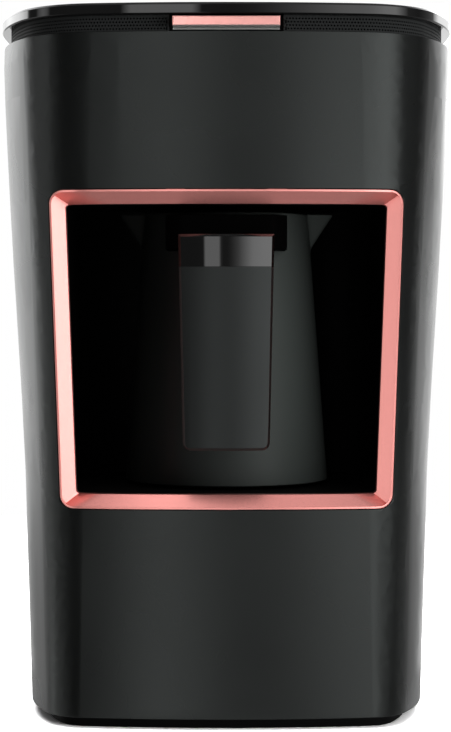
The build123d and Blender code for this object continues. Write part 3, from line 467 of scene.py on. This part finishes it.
def makeVentBand():
    # the perforated band: a wall that follows the lid's outline, with staggered rows of round holes
    half = ventBand["pitch"] / 2
    wall = ventBand["wall"]
    places, outward = evenly(planLine(lidPlan, ventBand["inset"]), ventBand["gap"], half)
    last = len(places) - 1
    holes = int((ventBand["reach"] - ventBand["gap"]) / half)
    rows = range(ventBand["rows"])
    levels = [ventBand["bottom"]]
    for row in range(ventBand["rows"] + 1):
        levels.append(ventBand["bottom"] + ventBand["firstRow"] + row * ventBand["rowStep"])
    levels.append(ventBand["top"])
    bm = bmesh.new()

    def point(side, column, level, depth):
        # a place on the band: side 1 is the right half, depth 0 the outer face
        low = min(int(column), len(places) - 2)
        part = column - low
        x = places[low][0] * (1 - part) + places[low + 1][0] * part - outward[low][0] * depth
        y = places[low][1] * (1 - part) + places[low + 1][1] * part - outward[low][1] * depth
        return (side * x * mm, y * mm, level * mm)

    def face(corners, flip):
        verts = [bm.verts.new(c) for c in corners]
        bm.faces.new(verts[::-1] if flip else verts)

    def cell(side, column, row, depth, flip):
        # one step of a row: every second one is the middle of a hole, and its neighbours belong to it
        low, high = levels[row + 1], levels[row + 2]
        middle = (low + high) / 2
        inside = 0 < column < holes
        if inside and (column + row) % 2 == 1:
            return
        if not (inside and column + 1 < holes):
            face([point(side, column, low, depth), point(side, column + 1, low, depth),
                  point(side, column + 1, middle, depth), point(side, column + 1, high, depth),
                  point(side, column, high, depth), point(side, column, middle, depth)], flip)
            return
        centre = column + 1
        rim = [(centre + 1, middle), (centre + 1, high), (centre, high), (centre - 1, high),
               (centre - 1, middle), (centre - 1, low), (centre, low), (centre + 1, low)]
        turns = [2 * math.pi * i / len(rim) for i in range(len(rim))]
        ring = [(centre + ventBand["hole"] / half * math.cos(turn), middle + ventBand["hole"] * math.sin(turn))
                for turn in turns]
        for i in range(len(rim)):
            j = (i + 1) % len(rim)
            face([point(side, *rim[i], depth), point(side, *rim[j], depth),
                  point(side, *ring[j], depth), point(side, *ring[i], depth)], flip)
            if depth == 0:
                face([point(side, *ring[i], 0), point(side, *ring[j], 0),
                      point(side, *ring[j], wall), point(side, *ring[i], wall)], flip)

    for side in (-1, 1):
        for depth in (0, wall):
            flip = (side == -1) != (depth > 0)
            for column in range(last):
                for low, high in ((levels[0], levels[1]), (levels[-2], levels[-1])):
                    face([point(side, column, low, depth), point(side, column + 1, low, depth),
                          point(side, column + 1, high, depth), point(side, column, high, depth)], flip)
                for row in rows:
                    cell(side, column, row, depth, flip)
        # upper and lower edges, and the end at the button
        for column in range(last):
            for level, flip in ((levels[0], side == 1), (levels[-1], side == -1)):
                face([point(side, column, level, 0), point(side, column + 1, level, 0),
                      point(side, column + 1, level, wall), point(side, column, level, wall)], flip)
        for low, high in zip(levels, levels[1:]):
            face([point(side, 0, low, 0), point(side, 0, high, 0), point(side, 0, high, wall),
                  point(side, 0, low, wall)], side == -1)
    # the two halves meet at the middle of the back
    for low, high in zip(levels, levels[1:]):
        for depth, flip in ((0, False), (wall, True)):
            face([point(1, last, low, depth), point(-1, last, low, depth),
                  point(-1, last, high, depth), point(1, last, high, depth)], flip)
    for level, flip in ((levels[0], True), (levels[-1], False)):
        face([point(1, last, level, 0), point(-1, last, level, 0), point(-1, last, level, wall),
              point(1, last, level, wall)], flip)
    bmesh.ops.remove_doubles(bm, verts=bm.verts, dist=ventBand["merge"] * mm)
    bmesh.ops.recalc_face_normals(bm, faces=bm.faces)
    smoothed(bm)
    piece = pieceFrom(bm, "vent_band")
    dress("vent_grille", piece)
    return piece


pieces["vent_grille"] = makeVentBand()
print("vent band made")

pot = {
    "y": -24.0, "foot": 74.7, "top": 163.3, "radiusFoot": 33.956, "radiusTop": 27.4, "wall": 2.0,
    "rimRound": 0.6, "rimInnerRound": 0.4, "footRound": 0.4,
    "ledgeTop": 78.5, "ledgeBottom": 77.1, "ledgeRadius": 25.0,
    "recess": 31.82,  # radius of the recess that takes the base
    "sides": 208,
    "crowding": 0.425,  # how closely the sides crowd together round the lips
    "straightStep": 8.0, "straightRings": 8,  # below the lips
    "lipStep": 0.75, "lipRings": 21, "lipLead": 1.0,  # along the lips, from a little under them
    "footSteps": 3, "rimSteps": 5, "rimInnerSteps": 3,  # steps of each rounding
    "sharp": 40.0,  # degrees above which an edge is sharp
}
spout = {
    "reach": 34.0,  # distance from the pot's axis to the centre of the tip's rounding
    "tip": 2.0, "root": 9.0,  # radii
    "wall": 1.2,
    "drop": 16.0,  # height over which the lip runs out into the body
    "blend": 1.2,  # width of the fillet between lip and body
}


def spoutRadius(angle, drop, grow):
    # how far the pouring lip reaches from the pot's axis in a direction, drop below the rim
    down = min(drop / spout["drop"], 1.0)
    inner = pot["radiusTop"] - pot["wall"]
    rootAt = inner - spout["root"] - spout["wall"]
    root = spout["root"] * (1 - down / 2) + grow
    tipAt = spout["reach"] + (inner - spout["tip"] - spout["reach"]) * down
    tip = spout["tip"] + grow
    across = abs(math.sin(angle))
    along = abs(math.cos(angle))
    # the side of the lip is the line that touches both rounds
    lean = math.asin((root - tip) / (tipAt - rootAt))
    sideNormal = (math.sin(lean), math.cos(lean))
    touchRoot = (rootAt + root * sideNormal[0], root * sideNormal[1])
    touchTip = (tipAt + tip * sideNormal[0], tip * sideNormal[1])
    if across * touchTip[0] <= along * touchTip[1]:
        return tipAt * along + math.sqrt(max(tip**2 - (tipAt * across) ** 2, 0.0))
    if across * touchRoot[0] <= along * touchRoot[1]:
        level = touchRoot[0] * sideNormal[0] + touchRoot[1] * sideNormal[1]
        return level / (along * sideNormal[0] + across * sideNormal[1])
    return 0.0


def quarterTurns(steps):
    return [math.radians(90 * step / steps) for step in range(steps + 1)]


def makePot():
    # the pot's body: rings up the outside, over the rim, down the inside and round the ledge over the base
    angles = []
    for i in range(pot["sides"]):
        even = 2 * math.pi * i / pot["sides"]
        angles.append(even - pot["crowding"] * math.sin(2 * even))

    def bodyRadius(level):
        rise = (level - pot["foot"]) / (pot["top"] - pot["foot"])
        return pot["radiusFoot"] + (pot["radiusTop"] - pot["radiusFoot"]) * rise

    def outer(angle, level):
        body, lip = bodyRadius(level), spoutRadius(angle, pot["top"] - level, 0.0)
        blend = max(spout["blend"] - abs(body - lip), 0.0)
        return max(body, lip) + blend**2 / (4 * spout["blend"])

    def inner(angle, level):
        return max(bodyRadius(level) - pot["wall"], spoutRadius(angle, pot["top"] - level, -spout["wall"]))

    bm = bmesh.new()
    rings = []

    def ring(level, radius):
        rings.append([bm.verts.new((radius(a) * math.cos(a) * mm, (pot["y"] + radius(a) * math.sin(a)) * mm,
                                    level * mm)) for a in angles])

    for turn in quarterTurns(pot["footSteps"]):
        inset, rise = pot["footRound"] * (1 - math.sin(turn)), pot["footRound"] * (1 - math.cos(turn))
        ring(pot["foot"] + rise, lambda a: bodyRadius(pot["foot"] + rise) - inset)
    straight = [pot["foot"] + pot["straightStep"] * (i + 1) for i in range(pot["straightRings"])]
    lipFoot = pot["top"] - spout["drop"] - pot["lipLead"]
    lipped = [lipFoot + pot["lipStep"] * i for i in range(pot["lipRings"])]
    for level in straight + [level for level in lipped if level < pot["top"] - pot["rimRound"]]:
        ring(level, lambda a: outer(a, level))
    for turn in quarterTurns(pot["rimSteps"]):
        level = pot["top"] - pot["rimRound"] * (1 - math.sin(turn))
        inset = pot["rimRound"] * (1 - math.cos(turn))
        ring(level, lambda a: max(outer(a, level) - inset, inner(a, level) + pot["rimInnerRound"]))
    for turn in quarterTurns(pot["rimInnerSteps"]):
        level = pot["top"] - pot["rimInnerRound"] * (1 - math.cos(turn))
        inset = pot["rimInnerRound"] * (1 - math.sin(turn))
        ring(level, lambda a: inner(a, level) + inset)
    lippedInside = [level for level in lipped if level < pot["top"] - pot["rimInnerRound"]]
    for level in lippedInside[::-1] + [level for level in straight[::-1] if level > pot["ledgeTop"]]:
        ring(level, lambda a: inner(a, level))
    ring(pot["ledgeTop"], lambda a: bodyRadius(pot["ledgeTop"]) - pot["wall"])
    ring(pot["ledgeTop"], lambda a: pot["ledgeRadius"])
    ring(pot["ledgeBottom"], lambda a: pot["ledgeRadius"])
    ring(pot["ledgeBottom"], lambda a: pot["recess"])
    ring(pot["foot"], lambda a: pot["recess"])
    closedWalls(bm, rings)
    smoothed(bm, pot["sharp"])
    piece = pieceFrom(bm, "pot_body")
    dress("pot_vessel", piece)
    return piece


pieces["pot_vessel"] = makePot()
print("pot made")


def outlineOf(points):
    # the convex outline round points of a plan, anticlockwise
    points = sorted(set(points))
    halves = []
    for run in (points, points[::-1]):
        half = []
        for point in run:
            while len(half) > 1 and ((half[-1][0] - half[-2][0]) * (point[1] - half[-2][1])
                                     - (half[-1][1] - half[-2][1]) * (point[0] - half[-2][0])) <= 0:
                half.pop()
            half.append(point)
        halves += half[:-1]
    return halves


# a dark skirt that stands for the shade under the base: painted shade
shadeSkirt = {
    "above": 3.0,  # the outline is that of the base's rim above this height
    "inset": 2.0, "wall": 1.2, "bottom": 0.15, "top": 3.5,
    "decimals": 2,  # to which the rim's corners are rounded
}


def makeShadeSkirt():
    # painted shade: a dark skirt below the base's rim, which closes the gap above the table to the eye with dark
    # where there is only shade
    rim = [v.co for v in frame["nodes"]["base_cover"].data.vertices if v.co.z > shadeSkirt["above"] * mm]
    outline = outlineOf([(round(v.x / mm, shadeSkirt["decimals"]), round(v.y / mm, shadeSkirt["decimals"])) for v in rim])
    outer, inner = shadeSkirt["inset"], shadeSkirt["inset"] + shadeSkirt["wall"]
    bm = bmesh.new()
    rings = []
    for depth, level in ((outer, shadeSkirt["bottom"]), (outer, shadeSkirt["top"]), (inner, shadeSkirt["top"]),
                         (inner, shadeSkirt["bottom"])):
        ring = []
        for i, (x, y) in enumerate(outline):
            before, after = outline[i - 1], outline[(i + 1) % len(outline)]
            length = math.dist(before, after)
            outward = ((after[1] - before[1]) / length, (before[0] - after[0]) / length)
            ring.append(bm.verts.new(((x - outward[0] * depth) * mm, (y - outward[1] * depth) * mm, level * mm)))
        rings.append(ring)
    closedWalls(bm, rings)
    smoothed(bm)
    piece = pieceFrom(bm, "shade_skirt")
    piece.data.materials.append(finishFor("base_cover"))
    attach(piece, bodyOfNode["base_cover"])


def makeLeafSprings():
    # the button's two leaf springs, which give way as it is pressed
    bm = meshOf("button_spring")
    smoothed(bm)
    piece = pieceFrom(bm, "leaf_springs")
    dress("button_spring", piece)
    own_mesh(piece)


makeShadeSkirt()
makeLeafSprings()
print("skirt and springs made")

paper = {
    "radius": 3.0, "segments": 96,
    "whiteness": 0.85,
    "burn": 4.0,  # whiteness that the camera sees
    "fadeFrom": 0.25, "fadeTo": 0.6,  # distance over which it passes into the white backdrop
    "shadeFrom": 0.086, "shadeTo": 0.1,  # distance over which it gives way to the studio in what shines
    "contactShadow": 0.01, "contactDepth": 0.3, "samples": 8,  # reach and strength of the painted contact shadow under the machine
}


def makeFloor():
    bm = bmesh.new()
    bmesh.ops.create_circle(bm, cap_ends=True, segments=paper["segments"], radius=paper["radius"])
    floor = pieceFrom(bm, "floor")
    # a sweep of matt white paper
    material, tree = newMaterial("paperSweep")
    place = addNode(tree, "ShaderNodeTexCoord").outputs["Object"]
    away = addNode(tree, "ShaderNodeVectorMath", {0: place}, operation="LENGTH").outputs["Value"]
    far = mapped(tree, away, paper["fadeFrom"], paper["fadeTo"])
    rays = addNode(tree, "ShaderNodeLightPath")
    # the camera sees the paper burnt out to white, while it lights the machine as plain paper does
    tone = mapped(tree, rays.outputs["Is Camera Ray"], 0.0, 1.0, paper["whiteness"], paper["burn"])
    # painted contact shadow: the paper's colour darkens where the machine stands close over it
    close = addNode(tree, "ShaderNodeAmbientOcclusion", {"Distance": paper["contactShadow"]}, samples=paper["samples"])
    contactShadow = calculated(tree, "POWER", close.outputs["AO"], paper["contactDepth"])
    sheet = addNode(tree, "ShaderNodeBsdfDiffuse", {"Color": calculated(tree, "MULTIPLY", tone, contactShadow)})
    white = addNode(tree, "ShaderNodeEmission", {"Strength": 1.0})
    fading = addNode(tree, "ShaderNodeMixShader", {
        0: far, 1: sheet.outputs["BSDF"], 2: white.outputs["Emission"]})
    clear = addNode(tree, "ShaderNodeBsdfTransparent")
    # mirrored rays pass the paper and meet the studio below, so the housing shows the lamps down to its foot,
    # but not the paper in the machine's own shadow
    beside = mapped(tree, away, paper["shadeFrom"], paper["shadeTo"])
    passing = calculated(tree, "MULTIPLY", rays.outputs["Is Glossy Ray"], beside)
    shown = addNode(tree, "ShaderNodeMixShader", {
        0: passing, 1: fading.outputs["Shader"], 2: clear.outputs["BSDF"]})
    addNode(tree, "ShaderNodeOutputMaterial", {"Surface": shown.outputs["Shader"]})
    floor.data.materials.append(material)


# Level of the studio as seen in reflections, by direction round the machine in degrees: 0 is the camera's
# side, positive is the machine's right. A strip light stands left of the camera, a big softbox to the right,
# black cards between them, and the pale backdrop behind. The levels differ near the floor, at the height of
# the housing, and in the narrow belt that the lid mirrors.
studioLevels = {
    "foot": {
        -180: 1.3, -166: 1.3, -157: 0.6, -148: 0.4, -138: 0.8, -127: 0.5, -116: 0.4, -107: 0.9, -97: 1.5,
        -88: 0.8, -70: 0.58, -60: 0.5, -48: 0.2, -34: 0.08, -20: 0.08, -14.6: 0.1, -13.4: 1.85, -3.8: 1.85,
        -2.8: 0.1, 5: 0.1, 12: 0.5, 17: 1.3, 28: 2.0, 40: 0.75, 48: 0.3, 58: 0.05, 68: 0.03, 80: 0.12, 91: 0.5,
        136: 0.38, 152: 0.7, 162: 1.8},
    "waist": {
        -180: 1.25, -156: 1.5, -139: 1.7, -116: 1.8, -107: 0.5, -95: 0.4, -86: 0.45, -76: 0.3, -66: 0.12,
        -20: 0.11, -14.2: 0.13, -13.3: 1.8, -4.1: 1.8, -3.3: 0.13, 1.5: 0.15, 4.3: 0.33, 7.6: 0.65, 10.8: 1.28,
        14: 1.9, 17: 2.5, 23: 2.8, 45: 3.2, 60: 3.2, 72: 1.4, 82: 0.15, 102: 0.1, 112: 0.35, 118: 0.65,
        140: 0.95, 155: 1.6, 168: 1.6},
    "middle": {
        -180: 2.5, -170: 1.5, -156: 1.6, -138: 2.8, -128: 1.15, -116: 0.06, -106: 0.12, -98: 0.65, -90: 0.95,
        -82: 0.5, -74: 0.1, -52: 0.08, -34: 0.27, -14.6: 0.25, -13.4: 1.75, -3.8: 1.75, -2.8: 0.15, 3: 0.12,
        7: 0.35, 12: 1.0, 17: 1.5, 26: 1.3, 42: 1.7, 56: 2.4, 71: 1.7, 82: 0.2, 92: 0.3, 104: 0.06, 136: 0.2,
        146: 1.5, 158: 2.7, 172: 3.4},
    "belt": {
        -170: 1.15, -158: 1.7, -149: 3.06, -140: 3.4, -125: 4.5, -114: 4.3, -110: 0.35, -106: 0.12, -95: 0.13,
        -90: 0.9, -83: 1.48, -77: 1.1, -72: 0.15, -14.3: 0.18, -13.6: 2.08, -4.5: 2.08, -3.6: 0.17, 1.5: 0.17,
        4.3: 0.28, 7.4: 0.57, 10.5: 0.97, 13.8: 1.45, 17: 2.0, 30: 2.23, 48: 3.0, 62: 2.95, 71: 1.6, 81: 0.26,
        99: 0.14, 136: 0.4, 143: 3.05, 158: 1.7},
}
# above the foot: each set of levels, with the heights of direction at which it begins and has taken over
studioZones = [
    ("waist", -0.115, -0.088),
    ("middle", 0.036, 0.06),
    ("belt", 0.123, 0.126),
    ("middle", 0.147, 0.155),
]
studio = {
    "above": 0.4, "aboveFrom": 0.55, "aboveTo": 0.85,  # level straight up, and where it begins and is reached
    "below": 0.2, "belowFrom": -0.45, "belowTo": -0.8,  # level straight down
    "ambient": 0.12,  # level that lights matt surfaces
    "backdrop": 1.0,  # level that the camera sees
    "peak": 4.5,  # level that the ramps show as white
    "phase": 0.57,  # degrees by which the ramps are turned, so that the strip's edges fall between their samples
}


def studioRamp(tree, share, levels):
    ramp = addNode(tree, "ShaderNodeValToRGB", {"Fac": share})
    elements = ramp.color_ramp.elements
    for index, (degrees, level) in enumerate(sorted(levels.items())):
        position = (degrees + studio["phase"]) / 360 + 0.5
        # a new ramp already has two stops
        stop = elements[index] if index in (0, 1) else elements.new(position)
        stop.position = position
        grey = level / studio["peak"]
        stop.color = (grey, grey, grey, 1.0)
    return ramp.outputs["Color"]


def makeStudio():
    world = bpy.data.worlds.new("studio")
    bpy.context.scene.world = world
    world.use_nodes = True
    tree = world.node_tree
    tree.nodes.clear()
    toward = addNode(tree, "ShaderNodeTexCoord").outputs["Generated"]
    axes = addNode(tree, "ShaderNodeSeparateXYZ", {0: toward})
    height = axes.outputs["Z"]
    front = calculated(tree, "MULTIPLY", axes.outputs["Y"], -1.0)
    turn = calculated(tree, "ARCTAN2", axes.outputs["X"], front)
    share = calculated(tree, "MULTIPLY_ADD", turn, 1 / (2 * math.pi), 0.5 + studio["phase"] / 360)
    ramps = {name: studioRamp(tree, share, levels) for name, levels in studioLevels.items()}
    sides = ramps["foot"]
    for name, start, end in studioZones:
        sides = mixedColour(tree, mapped(tree, height, start, end), sides, ramps[name])
    level = calculated(tree, "MULTIPLY", sides, studio["peak"])
    up = mapped(tree, height, studio["aboveFrom"], studio["aboveTo"])
    down = mapped(tree, height, studio["belowFrom"], studio["belowTo"])
    mirrored = mixedLevel(tree, down, mixedLevel(tree, up, level, studio["above"]), studio["below"])
    rays = addNode(tree, "ShaderNodeLightPath")
    lit = mixedLevel(tree, rays.outputs["Is Glossy Ray"], studio["ambient"], mirrored)
    seen = calculated(tree, "MAXIMUM", rays.outputs["Is Camera Ray"], rays.outputs["Is Transmission Ray"])
    sky = addNode(tree, "ShaderNodeBackground", {
        "Color": (1, 1, 1, 1), "Strength": mixedLevel(tree, seen, lit, studio["backdrop"])})
    addNode(tree, "ShaderNodeOutputWorld", {"Surface": sky.outputs["Background"]})


# "only" and "but" name the pieces that alone take a lamp's light, or that don't take it
lamps = {
    "overhead": {"place": (0.0, -0.15, 1.30), "size": (1.6, 1.6), "power": 22.0, "but": ["window_frame"]},
    "key": {"place": (1.04, -0.73, 0.22), "size": (0.6, 0.42), "power": 17.0, "but": ["pot_vessel"]},
    # a thin strip tucked behind the window's right side, for the pot
    "potStrip": {"place": (0.034, -0.080, 0.120), "size": (0.006, 0.1), "power": 0.11, "only": ["pot_vessel"]},
    # cards that one piece alone mirrors: the window's frame on its right side and on its sill, and the button
    "leftCard": {"place": (-0.765, -0.642, 0.14), "size": (0.4, 0.55), "power": 0.8, "only": ["window_frame"],
                 "mirrored": True},
    "sillCard": {"place": (-0.11, -0.31, 0.83), "size": (0.09, 0.25), "power": 0.19, "only": ["window_frame"],
                 "mirrored": True},
    "sillFill": {"place": (0.14, -0.31, 0.83), "size": (0.1, 0.25), "power": 0.07, "only": ["window_frame"],
                 "mirrored": True},
    "buttonCard": {"place": (-0.175, -1.04, 0.36), "size": (0.12, 0.2), "power": 0.44, "only": ["start_button"],
                   "mirrored": True},
    "buttonFill": {"place": (0.24, -1.03, 0.36), "size": (0.16, 0.2), "power": 0.34, "only": ["start_button"],
                   "mirrored": True},
}
lampsAimAt = (0.0, -0.02, 0.11)


def makeLamp(name, place, size, power, only=(), but=(), mirrored=False):
    lamp = bpy.data.lights.new(name, "AREA")
    lamp.shape = "RECTANGLE"
    lamp.size, lamp.size_y = size
    lamp.energy = power
    light = bpy.data.objects.new(name, lamp)
    light.location = place
    aim = Vector(lampsAimAt) - Vector(place)
    light.rotation_euler = aim.to_track_quat("-Z", "Y").to_euler()
    # the lamps light matt surfaces, while what shines mirrors the studio and the cards
    light.visible_glossy = mirrored
    light.visible_diffuse = not mirrored
    if only or but:
        linked = bpy.data.collections.new(name + "Pieces")
        for node in only or but:
            linked.objects.link(pieces[node])
        for entry in linked.collection_objects:
            entry.light_linking.link_state = "INCLUDE" if only else "EXCLUDE"
        light.light_linking.receiver_collection = linked
    bpy.context.scene.collection.objects.link(light)


camera = {
    "distance": 0.7325,  # from the upright axis, in front of the machine
    "height": 0.1347,
    "focalLength": 103.4, "sensor": 36.0,  # millimetres, the sensor's long side
    "shift": (-0.0011, -0.0902),
}


def makeCamera():
    lens = bpy.data.cameras.new("camera")
    lens.lens = camera["focalLength"]
    lens.sensor_width = camera["sensor"]
    lens.shift_x, lens.shift_y = camera["shift"]
    view = bpy.data.objects.new("camera", lens)
    view.location = (0.0, -camera["distance"], camera["height"])
    view.rotation_euler = (math.radians(90), 0.0, 0.0)
    bpy.context.scene.collection.objects.link(view)
    bpy.context.scene.camera = view


makeFloor()
makeStudio()
for name, lamp in lamps.items():
    makeLamp(name, **lamp)
makeCamera()
bpy.context.scene.view_settings.view_transform = "Standard"
print("studio ready")
